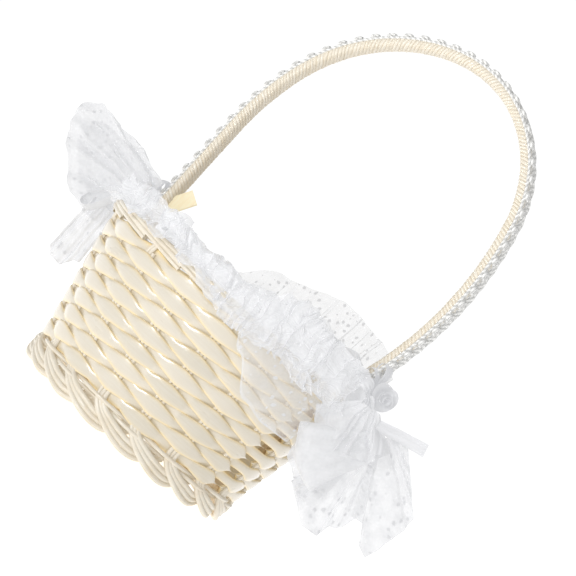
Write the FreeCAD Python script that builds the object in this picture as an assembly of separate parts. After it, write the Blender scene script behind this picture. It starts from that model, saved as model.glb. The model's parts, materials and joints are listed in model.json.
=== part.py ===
"""Flower girl basket: a round woven splint basket with a fixed hoop handle, a tulle ruffle and two bows.

Millimetres, +Z up. The hoop handle stands in the XZ plane, and the origin is the centre of the
circle that the foot rests on.
"""
import FreeCAD, Part
import math
import os

from FreeCAD import Vector

# ---- Driving dimensions -------------------------------------------------------------------------
# Wall
STAKE_COUNT = 18          # groups of upright rods, one at each handle leg
ROW_COUNT = 14            # woven rows, each its own ring
ROW_PITCH = 5.28          # height from one row to the next
ROW_HEIGHT = 5.0          # height of one strip
STRIP_THICKNESS = 1.2
WAVE = 2.3                # how far a strip swings in front of and behind the stakes
BOTTOM_ROW_Z = 19.7       # middle of the lowest row
BOTTOM_ROW_RADIUS = 71.5
WALL_FLARE = 0.2043       # radius gained for each millimetre of height

# Upright rods
ROD_RADIUS = 0.9
ROD_SPACING = 1.9         # between the three rods of a stake
WALL_TOP_Z = 92.8         # where the rods turn into the rim

# Foot: each stake's rods bend along the ground, then tuck in under the next stake's.
# A bend is (bend radius, direction to turn to, degrees) and a straight run is (length,).
FOOT_BEND_Z = 10.35
FOOT_BEND = 8.0           # bend radius of the middle rod
FOOT_TUCK = [(18.0, "in", 26.0), (30.0, "in", 22.0)]

# Rim: two of each stake's rods bend along the rim, slope down and step out over the next stake's
RIM_BEND = 3.2
RIM_RUN = [(15.0, Vector(0, 0, -1), 7.4), (150.0, "in", 4.0), (62.0, "in", 24.0)]

# Waling: two round rods woven round the stakes below the rows
WALING_RADIUS = 1.1
WALING_WAVE = 2.5
WALING_HEIGHTS = (12.6, 15.0)

# Base board
BOARD_RADIUS = 68.3
BOARD_THICKNESS = 2.8

# Handle: a flat strip, wrapped, with a braid along its outer face
HANDLE_FOOT = (-71.1, 45.0)     # x, z where the left end stands inside the wall
WALL_LEAN = 11.5                # degrees; the ends lie along the wall
CORE_WIDTH = 8.0
CORE_THICKNESS = 2.8
WRAP_WIDTH = 10.0
WRAP_OUTWARD = 2.1              # of the wrapping's outer face, from the core's middle
WRAP_INWARD = 3.9
TRIM_WIDTH = 11.0
TRIM_THICKNESS = 1.8
# Each stretch is ("line", length) or ("arc", radius, degrees); an arc with plus degrees turns clockwise
LEFT_PEG = [("line", 40.0)]
LEFT_SEAT = [("line", 7.0), ("arc", 120.0, WALL_LEAN)]
HOOP = [("line", 61.6), ("arc", 155.2, 17.7), ("arc", 97.3, 60.6), ("arc", 81.5, 87.1), ("arc", 196.9, 36.0)]
RIGHT_SEAT = [("arc", 93.2, -9.9), ("line", 9.0)]
RIGHT_PEG = [("line", 40.0)]

# Ties that bind each handle leg to the stake behind it
TIE_WIRE_RADIUS = 0.4
TIE_Z = 91.6
TIE_INNER_X = 75.5
TIE_OUTER_X = 88.0
TIE_HALF_WIDTH = 6.2

# Tulle ruffle round the rim
COLLAR_RADIUS = 91.0
COLLAR_Z = 106.6
COLLAR_HALF_DEPTH = 6.3
COLLAR_HALF_HEIGHT = 7.0
HANDLE_GAP_ANGLE = 15.0         # degrees left free each side of a handle leg, for the bow

# Bows: distance of each bow's back from the axis
BOW_BACK = {"right": 93.0, "left": 87.6}
BOW_Z = 111.0
TULLE_REACH = 158.0             # outer end of the tulle tails on both sides

STEP_ANGLE = 2.0 * math.pi / STAKE_COUNT
UP = Vector(0, 0, 1)


def wall_radius(z):
    """Radius of the stakes' middle at a height."""
    return BOTTOM_ROW_RADIUS + WALL_FLARE * (z - BOTTOM_ROW_Z)


def polar(radius, angle, z):
    return Vector(radius * math.cos(angle), radius * math.sin(angle), z)


def save(node, *solids):
    """Write one node; solids that stay separate go in as a group."""
    shape = solids[0] if len(solids) == 1 else Part.makeCompound(list(solids))
    for solid in shape.Solids:
        if not solid.isValid() or solid.Volume <= 0:
            raise ValueError("bad solid in " + node)
    shape.exportStep("parts/" + node + ".step")


# ---- Paths made of lines and arcs ---------------------------------------------------------------
def flat(u, v):
    """Point of the ground plane."""
    return Vector(u, v, 0)


def upright(u, v):
    """Point of the plane that the handle stands in."""
    return Vector(u, 0, v)


def walk(stretches, start, heading, offset, plane):
    """Edges of a path moved sideways to its left, then where the path ends and its heading there."""
    edges = []
    u, v = start
    for stretch in stretches:
        left = (-math.sin(heading), math.cos(heading))
        begin = plane(u + offset * left[0], v + offset * left[1])
        if stretch[0] == "line":
            u += stretch[1] * math.cos(heading)
            v += stretch[1] * math.sin(heading)
            edges.append(Part.makeLine(begin, plane(u + offset * left[0], v + offset * left[1])))
            continue
        side = math.copysign(1.0, stretch[2])
        radius = side * stretch[1]
        centre = (u - radius * left[0], v - radius * left[1])
        places = []
        for share in (0.5, 1.0):
            turned = heading - math.radians(stretch[2]) * share
            reach = radius + offset
            places.append(plane(centre[0] - reach * math.sin(turned), centre[1] + reach * math.cos(turned)))
        edges.append(Part.Arc(begin, places[0], places[1]).toShape())
        heading -= math.radians(stretch[2])
        u = centre[0] - radius * math.sin(heading)
        v = centre[1] + radius * math.cos(heading)
    return edges, (u, v), heading


def round_section(radius, point, heading):
    return Part.Face(Part.Wire([Part.makeCircle(radius, point, heading)]))


def run_rod(section, point, heading, moves):
    """Carry a round section along: a line move is (length,), a bend is (radius, turn to, degrees)."""
    pieces = []
    section = section.copy()
    for move in moves:
        if len(move) == 1:
            pieces.append(section.extrude(heading * move[0]))
            section.translate(heading * move[0])
            point = point + heading * move[0]
            continue
        bend, toward, degrees = move
        if toward in ("in", "out"):
            toward = Vector(point.x, point.y, 0) * (1.0 if toward == "out" else -1.0)
        axis = heading.cross(toward).normalize()
        centre = point + axis.cross(heading) * bend
        pieces.append(section.revolve(centre, axis, degrees))
        section.rotate(centre, axis, degrees)
        turn = FreeCAD.Rotation(axis, degrees)
        point = centre + turn.multVec(point - centre)
        heading = turn.multVec(heading)
    return pieces


def joined(pieces):
    return pieces[0].fuse(pieces[1:])


# ---- Woven rows ---------------------------------------------------------------------------------
def weave_bends(radius, wave):
    """Bends of a ring that swings out past one stake and in past the next, as two arcs per pair.

    Returns the heading that the ring crosses its mean circle at, and (radius, degrees) of both arcs.
    """
    half_step = STEP_ANGLE / 2.0
    half_chord = radius * math.sin(half_step)
    rise = radius + wave - radius * math.cos(half_step)
    lean = 2.0 * math.atan(rise / half_chord) - half_step
    out_bend = (half_chord / math.sin(half_step + lean), math.degrees(2.0 * (half_step + lean)))
    in_bend = (half_chord / math.sin(lean - half_step), math.degrees(2.0 * (lean - half_step)))
    return math.pi / 2.0 - half_step - lean, out_bend, in_bend


def ring_start(radius):
    half_step = STEP_ANGLE / 2.0
    return (radius * math.cos(half_step), -radius * math.sin(half_step))


def weaver_row(index):
    """Strip that passes outside one stake and inside the next."""
    middle = BOTTOM_ROW_Z + index * ROW_PITCH
    radius = wall_radius(middle)
    heading, out_bend, in_bend = weave_bends(radius, WAVE)
    pair = [("arc", out_bend[0], -out_bend[1]), ("arc", in_bend[0], in_bend[1])]
    stretches = pair * (STAKE_COUNT // 2)
    wires = []
    for offset in (-STRIP_THICKNESS / 2.0, STRIP_THICKNESS / 2.0):
        wires.append(Part.Wire(walk(stretches, ring_start(radius), heading, offset, flat)[0]))
    row = Part.Face(wires[0]).cut(Part.Face(wires[1])).extrude(UP * ROW_HEIGHT)
    row.rotate(Vector(0, 0, 0), UP, math.degrees(STEP_ANGLE) * ((index + 1) % 2))
    row.translate(UP * (middle - ROW_HEIGHT / 2.0))
    return row


def waling_rod(z, first_stake):
    """Round rod woven round the stakes below the rows."""
    radius = wall_radius(z)
    heading, out_bend, in_bend = weave_bends(radius, WALING_WAVE)
    moves = [(out_bend[0], "in", out_bend[1]), (in_bend[0], "out", in_bend[1])] * (STAKE_COUNT // 2)
    start = Vector(*ring_start(radius), z)
    section = round_section(WALING_RADIUS, start, polar(1.0, heading, 0))
    rod = joined(run_rod(section, start, polar(1.0, heading, 0), moves))
    rod.rotate(Vector(0, 0, 0), UP, math.degrees(STEP_ANGLE) * first_stake)
    return rod


# ---- Upright rods with their foot arcs and rim strands ------------------------------------------
def stake_rod(angle, offset, has_rim):
    """One rod from its end under the foot, up through the wall, to its end in the rim or at its top."""
    foot_radius = wall_radius(FOOT_BEND_Z)
    top_radius = wall_radius(WALL_TOP_Z)
    low = polar(foot_radius, angle + offset / foot_radius, FOOT_BEND_Z)
    high = polar(top_radius, angle + offset / top_radius, WALL_TOP_Z)
    along = polar(1.0, angle + math.pi / 2.0, 0)
    rise = (high - low).normalize()
    foot_moves = [(FOOT_BEND - offset, along, 90.0)] + FOOT_TUCK
    section = round_section(ROD_RADIUS, low, rise)
    pieces = run_rod(section, low, rise * -1.0, foot_moves)
    wall_moves = [((high - low).Length,)]
    if has_rim:
        wall_moves += [(RIM_BEND - offset, along, 90.0)] + RIM_RUN
    rod = joined(pieces + run_rod(section, low, rise, wall_moves))
    if offset < 0:
        rod = rod.cut(Part.makeBox(200, 200, 10, Vector(-100, -100, -10)))
    return rod


def stake(index):
    """Three rods side by side; the last one stops at the top of the wall."""
    angle = index * STEP_ANGLE
    rods = []
    for place in (-1, 0, 1):
        rods.append(stake_rod(angle, place * ROD_SPACING, place < 1))
    return rods


# ---- Handle -------------------------------------------------------------------------------------
def strip(stretches, start, heading, near, far, width):
    """Solid strip along the path between two sideways offsets, centred on the XZ plane."""
    inner = walk(stretches, start, heading, near, upright)[0]
    outer = walk(stretches, start, heading, far, upright)[0]
    ends = []
    for place in (0, -1):
        ends.append(Part.makeLine(inner[place].Vertexes[place].Point, outer[place].Vertexes[place].Point))
    outline = Part.Wire(Part.__sortEdges__(inner + outer + ends))
    face = Part.Face(outline)
    face.translate(Vector(0, -width / 2.0, 0))
    return face.extrude(Vector(0, width, 0))


def make_handle():
    heading = math.radians(90.0 + WALL_LEAN)
    seated = LEFT_SEAT + HOOP + RIGHT_SEAT
    core = strip(LEFT_PEG + seated + RIGHT_PEG, HANDLE_FOOT, heading,
                 -CORE_THICKNESS / 2.0, CORE_THICKNESS / 2.0, CORE_WIDTH)
    save("handle_core", core)
    _, seat, seat_heading = walk(LEFT_PEG, HANDLE_FOOT, heading, 0.0, upright)
    sleeve = strip(seated, seat, seat_heading, -WRAP_INWARD, WRAP_OUTWARD, WRAP_WIDTH)
    save("handle_wrap", sleeve.cut(core))
    _, hoop, hoop_heading = walk(LEFT_SEAT, seat, seat_heading, 0.0, upright)
    save("handle_trim", strip(HOOP, hoop, hoop_heading, WRAP_OUTWARD, WRAP_OUTWARD + TRIM_THICKNESS, TRIM_WIDTH))


def handle_tie(side):
    """Wire bound once round a handle leg and the stake outside it."""
    half_length = (TIE_OUTER_X - TIE_INNER_X) / 2.0
    box = Part.makeBox(half_length * 2, TIE_HALF_WIDTH * 2, TIE_WIRE_RADIUS * 2,
                       Vector(TIE_INNER_X, -TIE_HALF_WIDTH, TIE_Z - TIE_WIRE_RADIUS))
    thickness = TIE_WIRE_RADIUS * 2
    hole = Part.makeBox((half_length - thickness) * 2, (TIE_HALF_WIDTH - thickness) * 2, thickness,
                        Vector(TIE_INNER_X + thickness, -TIE_HALF_WIDTH + thickness, TIE_Z - TIE_WIRE_RADIUS))
    loop = box.cut(hole)
    return loop if side > 0 else loop.mirror(Vector(0, 0, 0), Vector(1, 0, 0))


def wrap_tail():
    """End of the wrapping splint, which sticks up from the inner face of the left leg."""
    tail = Part.makeBox(0.6, 7.0, 20.0, Vector(0, -3.5, 0))
    tail.rotate(Vector(0, 0, 0), Vector(0, 1, 0), 24.0)
    tail.translate(Vector(-78.6, 0, 114.0))
    return tail


# ---- Soft pieces --------------------------------------------------------------------------------
def ellipsoid(centre, radii):
    matrix = FreeCAD.Matrix()
    matrix.scale(*radii)
    shape = Part.makeSphere(1.0).transformGeometry(matrix)
    shape.translate(Vector(*centre))
    return shape


def sector(face, first, last):
    """Revolve a section in the XZ plane round the axis between two angles in degrees."""
    face.rotate(Vector(0, 0, 0), UP, first)
    return face.revolve(Vector(0, 0, 0), UP, last - first)


def shell_section(inner, outer, low, high):
    corners = [Vector(inner, 0, low), Vector(outer, 0, low), Vector(outer, 0, high), Vector(inner, 0, high)]
    return Part.Face(Part.makePolygon(corners + corners[:1]))


def collar(first, last):
    ring = Part.Ellipse(Vector(COLLAR_RADIUS, 0, COLLAR_Z + COLLAR_HALF_HEIGHT),
                        Vector(COLLAR_RADIUS + COLLAR_HALF_DEPTH, 0, COLLAR_Z),
                        Vector(COLLAR_RADIUS, 0, COLLAR_Z))
    return sector(Part.Face(Part.Wire([ring.toShape()])), first, last)


def flare(root, root_size, tip, tip_size, width_direction):
    """Tapered panel from a small end to a wide end; a size is (width, thickness)."""
    across = Vector(*width_direction).normalize()
    along = (Vector(*tip) - Vector(*root)).normalize()
    through = along.cross(across).normalize()
    wires = []
    for centre, size in ((root, root_size), (tip, tip_size)):
        corners = []
        for u, v in ((-1, -1), (1, -1), (1, 1), (-1, 1)):
            corners.append(Vector(*centre) + across * (u * size[0] / 2.0) + through * (v * size[1] / 2.0))
        wires.append(Part.makePolygon(corners + corners[:1]))
    return Part.makeLoft(wires, True, True)


def satin_bow(side, back):
    """Knot with a loop at each side, which the knot's folds keep apart."""
    middle = side * (back + 3.3)
    bow = [ellipsoid((middle, 0, BOW_Z), (3.0, 4.5, 4.0))]
    for sign in (-1, 1):
        bow.append(ellipsoid((middle, sign * 12.9, BOW_Z), (3.0, 8.2, 6.0)))
    return bow


def ribbon_rose(side, back, across, facing):
    """Rolled ribbon flower, wider at its open face."""
    rose = Part.makeCone(6.0, 8.5, 7.0, Vector(0, 0, 0), Vector(*facing))
    rose.translate(Vector(side * (back + 10.0), across, BOW_Z + 3.5))
    return rose


def make_soft_pieces():
    front = collar(-180.0 + HANDLE_GAP_ANGLE, -HANDLE_GAP_ANGLE)
    lobe = sector(shell_section(91.2, 95.2, 60.0, 101.5), -58.0, -HANDLE_GAP_ANGLE)
    save("ruffle_front", front.fuse(lobe).removeSplitter())
    back = collar(HANDLE_GAP_ANGLE, 180.0 - HANDLE_GAP_ANGLE)
    flounce = sector(shell_section(87.0, 92.0, 108.0, 142.0), HANDLE_GAP_ANGLE, 125.0)
    save("ruffle_back", back.fuse(flounce).removeSplitter())

    for name, side in (("right", 1), ("left", -1)):
        bow_back = BOW_BACK[name]
        save("satin_bow_" + name, *satin_bow(side, bow_back))
        first_tail = flare((side * (bow_back + 7.4), 8, BOW_Z - 3), (7.4, 0.8),
                           (side * (bow_back + 43), 19, BOW_Z - 7), (7.4, 0.8), (0, 0, 1))
        second_tail = flare((side * (bow_back + 3.5), 12, BOW_Z - 7), (7.4, 0.8),
                            (side * (bow_back + 9), 18, BOW_Z - 38), (7.4, 0.8), (0, 1, 0))
        save("satin_tails_" + name, first_tail, second_tail)

    save("ribbon_rose_right", ribbon_rose(1, BOW_BACK["right"], -3.0, (0.87, -0.5, 0)))
    save("ribbon_rose_left", ribbon_rose(-1, BOW_BACK["left"], 3.0, (-1, 0, 0)))

    save("tulle_loops_right", ellipsoid((107.5, -8, 80), (11.5, 19, 21)))
    save("tulle_loops_left", ellipsoid((-107.5, -6, 92), (11.5, 19, 12)))

    outer_tail = flare((104, 22, 94), (8, 6), (TULLE_REACH, 18, 72), (54, 8), (0, 0, 1))
    lower_tail = flare((106, -6, 56), (8, 6), (106, 12, 33), (44, 6), (0.88, 0.47, 0))
    save("tulle_tails_right", outer_tail, lower_tail)
    spread_tail = flare((-108, -18, 107), (8, 6), (-TULLE_REACH, -22, 109), (50, 8), (0, 0, 1))
    hanging_tail = flare((-98, -20, 78), (12.8, 1.2), (-100, -22, 46), (12.8, 1.2), (1, 0, 0))
    save("tulle_tails_left", spread_tail, hanging_tail)


# ---- Whole basket -------------------------------------------------------------------------------
def main():
    os.makedirs("parts", exist_ok=True)
    for index in range(ROW_COUNT):
        save("weaver_row_%02d" % (index + 1), weaver_row(index))
    for index in range(STAKE_COUNT):
        save("stake_%02d" % (index + 1), *stake(index))
    save("waling_rod_lower", waling_rod(WALING_HEIGHTS[0], 1))
    save("waling_rod_upper", waling_rod(WALING_HEIGHTS[1], 0))
    board_z = WALING_HEIGHTS[1] + WALING_RADIUS
    save("base_board", Part.makeCylinder(BOARD_RADIUS, BOARD_THICKNESS, Vector(0, 0, board_z)))
    make_handle()
    save("handle_tie_right", handle_tie(1))
    save("handle_tie_left", handle_tie(-1))
    save("wrap_tail", wrap_tail())
    make_soft_pieces()


main()
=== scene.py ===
"""Looks of the flower girl basket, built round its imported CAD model.

Lengths in this file are millimetres and angles degrees unless a name or comment says otherwise.
Every mesh is made in millimetres and scaled to metres as it is added. +Z is up, the hoop handle
stands in the XZ plane, and angles are measured round the basket's axis from +X.
"""
import json
import math

import bpy
import numpy as np
from mathutils import Matrix, Vector, noise

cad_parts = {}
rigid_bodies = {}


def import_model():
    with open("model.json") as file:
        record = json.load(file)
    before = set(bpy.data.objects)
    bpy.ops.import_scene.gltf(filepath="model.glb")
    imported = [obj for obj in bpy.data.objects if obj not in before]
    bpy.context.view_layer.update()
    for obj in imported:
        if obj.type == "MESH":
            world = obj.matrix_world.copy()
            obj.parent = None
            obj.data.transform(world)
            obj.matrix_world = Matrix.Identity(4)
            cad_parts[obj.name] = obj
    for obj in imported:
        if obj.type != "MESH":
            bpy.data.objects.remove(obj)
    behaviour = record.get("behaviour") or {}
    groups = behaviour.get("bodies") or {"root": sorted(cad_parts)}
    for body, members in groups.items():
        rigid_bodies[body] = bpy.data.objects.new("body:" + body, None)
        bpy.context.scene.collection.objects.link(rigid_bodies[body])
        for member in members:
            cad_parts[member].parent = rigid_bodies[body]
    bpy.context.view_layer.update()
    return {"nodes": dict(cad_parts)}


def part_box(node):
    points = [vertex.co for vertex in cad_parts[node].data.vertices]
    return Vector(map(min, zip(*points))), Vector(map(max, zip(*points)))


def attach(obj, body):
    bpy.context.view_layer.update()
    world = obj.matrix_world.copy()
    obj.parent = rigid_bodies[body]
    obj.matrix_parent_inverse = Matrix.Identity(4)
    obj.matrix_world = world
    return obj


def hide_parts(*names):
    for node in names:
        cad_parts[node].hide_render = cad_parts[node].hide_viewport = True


MM = 0.001
TURN = 2.0 * math.pi
STAKE_COUNT = 18
STAKE_STEP = 360.0 / STAKE_COUNT
ROW_COUNT = 14
NOISE_SEED = 2            # of the vector noise, which starts from the clock if it is never set


# ---- Mesh helpers ----
def unit(vector):
    vector = np.asarray(vector, float)
    return vector / np.linalg.norm(vector)


def shares(count):
    """That many evenly spaced shares, from 0 to 1."""
    return np.linspace(0.0, 1.0, count)


def distances(points):
    """Length along a line up to each of its points."""
    return np.concatenate([[0.0], np.cumsum(np.linalg.norm(np.diff(points, axis=0), axis=1))])


def curve_weights(share, count):
    """What each of a smooth curve's controls counts for at each share of the way along it."""
    degree = count - 1
    weights = [math.comb(degree, at) * share ** at * (1.0 - share) ** (degree - at) for at in range(count)]
    return np.stack(weights, axis=1)


def smooth_interp(x, stops, values):
    """Values that ease from one stop to the next."""
    x = np.clip(x, stops[0], stops[-1])
    before = np.clip(np.searchsorted(stops, x, side="right") - 1, 0, len(stops) - 2)
    stops = np.asarray(stops, float)
    values = np.asarray(values, float)
    share = (x - stops[before]) / (stops[before + 1] - stops[before])
    share = share * share * (3.0 - 2.0 * share)
    return values[before] + (values[before + 1] - values[before]) * share


def crumple(points, size, height, seed):
    """Points moved by smooth noise with features of that size."""
    shift = Vector((seed * 17.3, seed * 5.1, seed * 9.7))
    moved = [noise.noise_vector(Vector(p) / size + shift) for p in points.reshape(-1, 3)]
    return points + height * np.array(moved).reshape(points.shape)


def crumple_twice(points, sizes, height, seed):
    """Large soft dents, with smaller and lower ones on them."""
    return crumple(crumple(points, sizes[0], height, seed), sizes[1], height * 0.4, seed + 1)


def wavy(x, waves, rng):
    """Sum of sine waves, given as (cycles, height), with random phases."""
    total = np.zeros_like(x)
    for cycles, height in waves:
        total += height * np.sin(TURN * cycles * x + rng.uniform(0.0, TURN))
    return total


def grid_faces(rows, columns, first=0):
    corner = first + np.arange((rows - 1) * columns).reshape(rows - 1, columns)[:, :-1].ravel()
    return np.stack([corner, corner + 1, corner + columns + 1, corner + columns], axis=1)


def surface_uv(points):
    """Distances along the two directions of a grid of points."""
    down = np.linalg.norm(np.diff(points, axis=0), axis=2)
    along = np.linalg.norm(np.diff(points, axis=1), axis=2)
    v = np.concatenate([np.zeros((1, points.shape[1])), np.cumsum(down, axis=0)])
    u = np.concatenate([np.zeros((points.shape[0], 1)), np.cumsum(along, axis=1)], axis=1)
    return np.stack([u - u[:, -1:] / 2.0, v], axis=2)


def add_object(name, data):
    made = bpy.data.objects.new(name, data)
    bpy.context.scene.collection.objects.link(made)
    return made


def add_piece(name, node, points, faces, material, uv, values):
    """One smooth mesh that rides on the basket in place of a CAD node. values are the named point
    values that its material reads."""
    mesh = bpy.data.meshes.new(name)
    mesh.from_pydata((np.asarray(points).reshape(-1, 3) * MM).tolist(), [], np.asarray(faces).tolist())
    mesh.polygons.foreach_set("use_smooth", [True] * len(mesh.polygons))
    corners = np.zeros(len(mesh.loops), np.int32)
    mesh.loops.foreach_get("vertex_index", corners)
    layer = mesh.uv_layers.new(name="UVMap")
    layer.data.foreach_set("uv", (np.asarray(uv, np.float32).reshape(-1, 2) * MM)[corners].ravel())
    for key, value in values.items():
        made = mesh.attributes.new(key, "FLOAT", "POINT")
        made.data.foreach_set("value", np.asarray(value, np.float32).ravel())
    mesh.materials.append(material)
    piece = add_object(name, mesh)
    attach(piece, "root")
    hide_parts(node)
    return piece


def add_cloth(name, node, points, material, hem=0.0):
    """A sheet from a grid of points (rows from the gathered edge to the free edge)."""
    rows, columns = points.shape[:2]
    values = {"hem": np.broadcast_to(hem, (rows, columns))}
    faces = grid_faces(rows, columns)
    return add_piece(name, node, points, faces, material, surface_uv(points), values)


class TubeSet:
    """Round cords collected into one mesh."""

    def __init__(self, sides):
        self.sides = sides
        self.points = []
        self.uv = []
        self.faces = []
        self.count = 0

    def add(self, line, radius, up):
        line = np.asarray(line, float)
        along = np.gradient(line, axis=0)
        along /= np.linalg.norm(along, axis=1)[:, None]
        across = np.cross(along, np.asarray(up, float))
        across /= np.maximum(np.linalg.norm(across, axis=1), 1e-9)[:, None]
        rise = np.cross(across, along)
        turn = np.linspace(0.0, TURN, self.sides + 1)
        radius = np.broadcast_to(radius, len(line))
        ring = np.cos(turn)[None, :, None] * across[:, None] + np.sin(turn)[None, :, None] * rise[:, None]
        points = line[:, None] + ring * radius[:, None, None]
        v, u = np.meshgrid(distances(line), turn * float(np.mean(radius)), indexing="ij")
        self.points.append(points.reshape(-1, 3))
        self.uv.append(np.stack([u, v], axis=2).reshape(-1, 2))
        self.faces.append(grid_faces(len(line), self.sides + 1, self.count))
        self.count += points.shape[0] * points.shape[1]

    def piece(self, name, node, material, slot):
        points, faces, uv = (np.concatenate(part) for part in (self.points, self.faces, self.uv))
        add_piece(name, node, points, faces, material, uv, {})


# ---- Material helpers ----
def feed(tree, socket, value):
    """Give a socket another node's output, or a value of its own."""
    if isinstance(value, bpy.types.NodeSocket):
        tree.links.new(value, socket)
    else:
        socket.default_value = value


def add_node(tree, kind, settings=None, **inputs):
    """A shader node with its inputs. Underscores in an input's name stand for spaces."""
    made = tree.nodes.new("ShaderNode" + kind)
    for key, value in (settings or {}).items():
        setattr(made, key, value)
    for key, value in inputs.items():
        feed(tree, made.inputs[key.replace("_", " ")], value)
    return made


def in_order(tree, kind, settings, inputs):
    """A shader node whose inputs are given as (number of the socket, value)."""
    made = add_node(tree, kind, settings)
    for number, value in inputs:
        feed(tree, made.inputs[number], value)
    return made


def calculate(tree, operation, first, second):
    return in_order(tree, "Math", {"operation": operation}, [(0, first), (1, second)]).outputs[0]


def mix_colour(tree, share, first, second):
    inputs = [(0, share), (6, first), (7, second)]
    return in_order(tree, "Mix", {"data_type": "RGBA"}, inputs).outputs[2]


def ramp(tree, value, low, high, to_low=0.0, to_high=1.0):
    made = add_node(tree, "MapRange", {"interpolation_type": "SMOOTHSTEP"}, Value=value, From_Min=low,
            From_Max=high, To_Min=to_low, To_Max=to_high)
    return made.outputs["Result"]


def start_material(name, **inputs):
    material = bpy.data.materials.new(name)
    material.use_nodes = True
    material.cycles.emission_sampling = "NONE"
    shader = material.node_tree.nodes["Principled BSDF"]
    for key, value in inputs.items():
        shader.inputs[key.replace("_", " ")].default_value = value
    return material, material.node_tree, shader


def place(tree, kind, scale):
    """Texture coordinates of that kind, in metres, multiplied by a scale for each axis."""
    source = add_node(tree, "TexCoord").outputs[kind]
    return add_node(tree, "Mapping", Vector=source, Scale=scale).outputs["Vector"]


def fractal(tree, kind, scale, detail, **inputs):
    """Cloudy noise in texture coordinates of that kind, scaled for each axis."""
    return add_node(tree, "TexNoise", Vector=place(tree, kind, scale), Scale=1.0, Detail=detail,
            **inputs).outputs["Fac"]


def attribute(tree, name):
    return add_node(tree, "Attribute", {"attribute_name": name}).outputs["Fac"]


def set_colour(tree, shader, colour):
    tree.links.new(colour, shader.inputs["Base Color"])


def set_roughness(tree, shader, texture, texture_range, roughness_range):
    tree.links.new(ramp(tree, texture, *texture_range, *roughness_range), shader.inputs["Roughness"])


def set_bump(tree, shader, height, distance, strength):
    """Bump from a texture; the distance is in metres."""
    made = add_node(tree, "Bump", Height=height, Distance=distance, Strength=strength)
    tree.links.new(made.outputs["Normal"], shader.inputs["Normal"])


# ---- Materials ----
# A small emission is a painted glow: it stands for the light that thin pale splint, reed and cloth let
# through, and lifts their shade.
IVORY = (0.445, 0.43, 0.39, 1.0)
IVORY_DEEP = (0.415, 0.388, 0.33, 1.0)
IVORY_PALE = (0.55, 0.52, 0.47, 1.0)
CREVICE_SHADE_OCHRE = (0.72, 0.56, 0.27, 1.0)
REED_PALE = (0.56, 0.53, 0.47, 1.0)
REED_DEEP = (0.53, 0.48, 0.40, 1.0)
REED_FIBRE = (0.52, 0.41, 0.25, 1.0)
WRAP_PALE = (0.74, 0.71, 0.64, 1.0)
WRAP_DEEP = (0.68, 0.63, 0.53, 1.0)
WRAP_WARM = (0.66, 0.59, 0.47, 1.0)
WRAP_GROOVE_SHADE = (0.40, 0.29, 0.17, 1.0)
CORD_GROOVE_SHADE = (0.42, 0.42, 0.41, 1.0)
CORD_LIGHT = (0.76, 0.755, 0.74, 1.0)
SATIN_DARK = (0.36, 0.36, 0.37, 1.0)
SATIN_LIGHT = (0.43, 0.43, 0.44, 1.0)
COOL_GLOW = (0.97, 0.98, 1.0, 1.0)
WHITE = (1.0, 1.0, 1.0, 1.0)


def splint_material():
    """Lacquered flat splint: grain along the strip, and painted shade that turns it deeper yellow towards its
    edges and where it passes behind a stake.
    """
    material, tree, shader = start_material("lacquered_splint", Coat_Weight=0.9, Coat_Roughness=0.14,
            Emission_Strength=0.17, Emission_Color=(0.94, 0.76, 0.47, 1.0))
    grain = fractal(tree, "UV", (45.0, 1100.0, 1.0), 5.0, Roughness=0.65)
    patch = fractal(tree, "UV", (30.0, 90.0, 1.0), 3.0)
    body = mix_colour(tree, ramp(tree, grain, 0.30, 0.72), IVORY, IVORY_DEEP)
    stained = calculate(tree, "MULTIPLY", ramp(tree, patch, 0.45, 0.75), 0.35)
    body = mix_colour(tree, stained, body, IVORY_DEEP)
    body = mix_colour(tree, calculate(tree, "MULTIPLY", attribute(tree, "tone"), 0.5), body, IVORY_PALE)
    # Painted shade: ochre towards the strip's edges and where it passes behind a stake stands for the shade
    # in the creases of the weave.
    edge = calculate(tree, "POWER", attribute(tree, "edge"), 2.2)
    set_colour(tree, shader, mix_colour(tree, edge, body, CREVICE_SHADE_OCHRE))
    set_roughness(tree, shader, patch, (0.2, 0.8), (0.24, 0.42))
    set_bump(tree, shader, grain, 0.00012, 0.5)
    return material


def reed_material():
    """Round reed under the same lacquer."""
    material, tree, shader = start_material("lacquered_reed", Coat_Weight=0.45, Coat_Roughness=0.2,
            Emission_Strength=0.16, Emission_Color=(0.94, 0.80, 0.56, 1.0))
    fibre = fractal(tree, "Object", (900.0, 900.0, 260.0), 4.0, Roughness=0.6)
    patch = fractal(tree, "Object", (70.0, 70.0, 70.0), 2.0)
    body = mix_colour(tree, ramp(tree, patch, 0.35, 0.7), REED_PALE, REED_DEEP)
    dark = calculate(tree, "MULTIPLY", ramp(tree, fibre, 0.5, 0.75), 0.35)
    set_colour(tree, shader, mix_colour(tree, dark, body, REED_FIBRE))
    set_roughness(tree, shader, fibre, (0.3, 0.7), (0.30, 0.48))
    set_bump(tree, shader, fibre, 0.00015, 0.6)
    return material


def wood_material(name, pale, deep, scale, **inputs):
    """Plain wood, or brushed metal: grain drawn out along the axis with the smallest scale."""
    material, tree, shader = start_material(name, **inputs)
    grain = fractal(tree, "Object", scale, 6.0, Roughness=0.6, Distortion=0.4)
    set_colour(tree, shader, mix_colour(tree, ramp(tree, grain, 0.35, 0.68), pale, deep))
    set_roughness(tree, shader, grain, (0.3, 0.7), (0.5, 0.68))
    set_bump(tree, shader, grain, 0.0002, 0.5)
    return material


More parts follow.
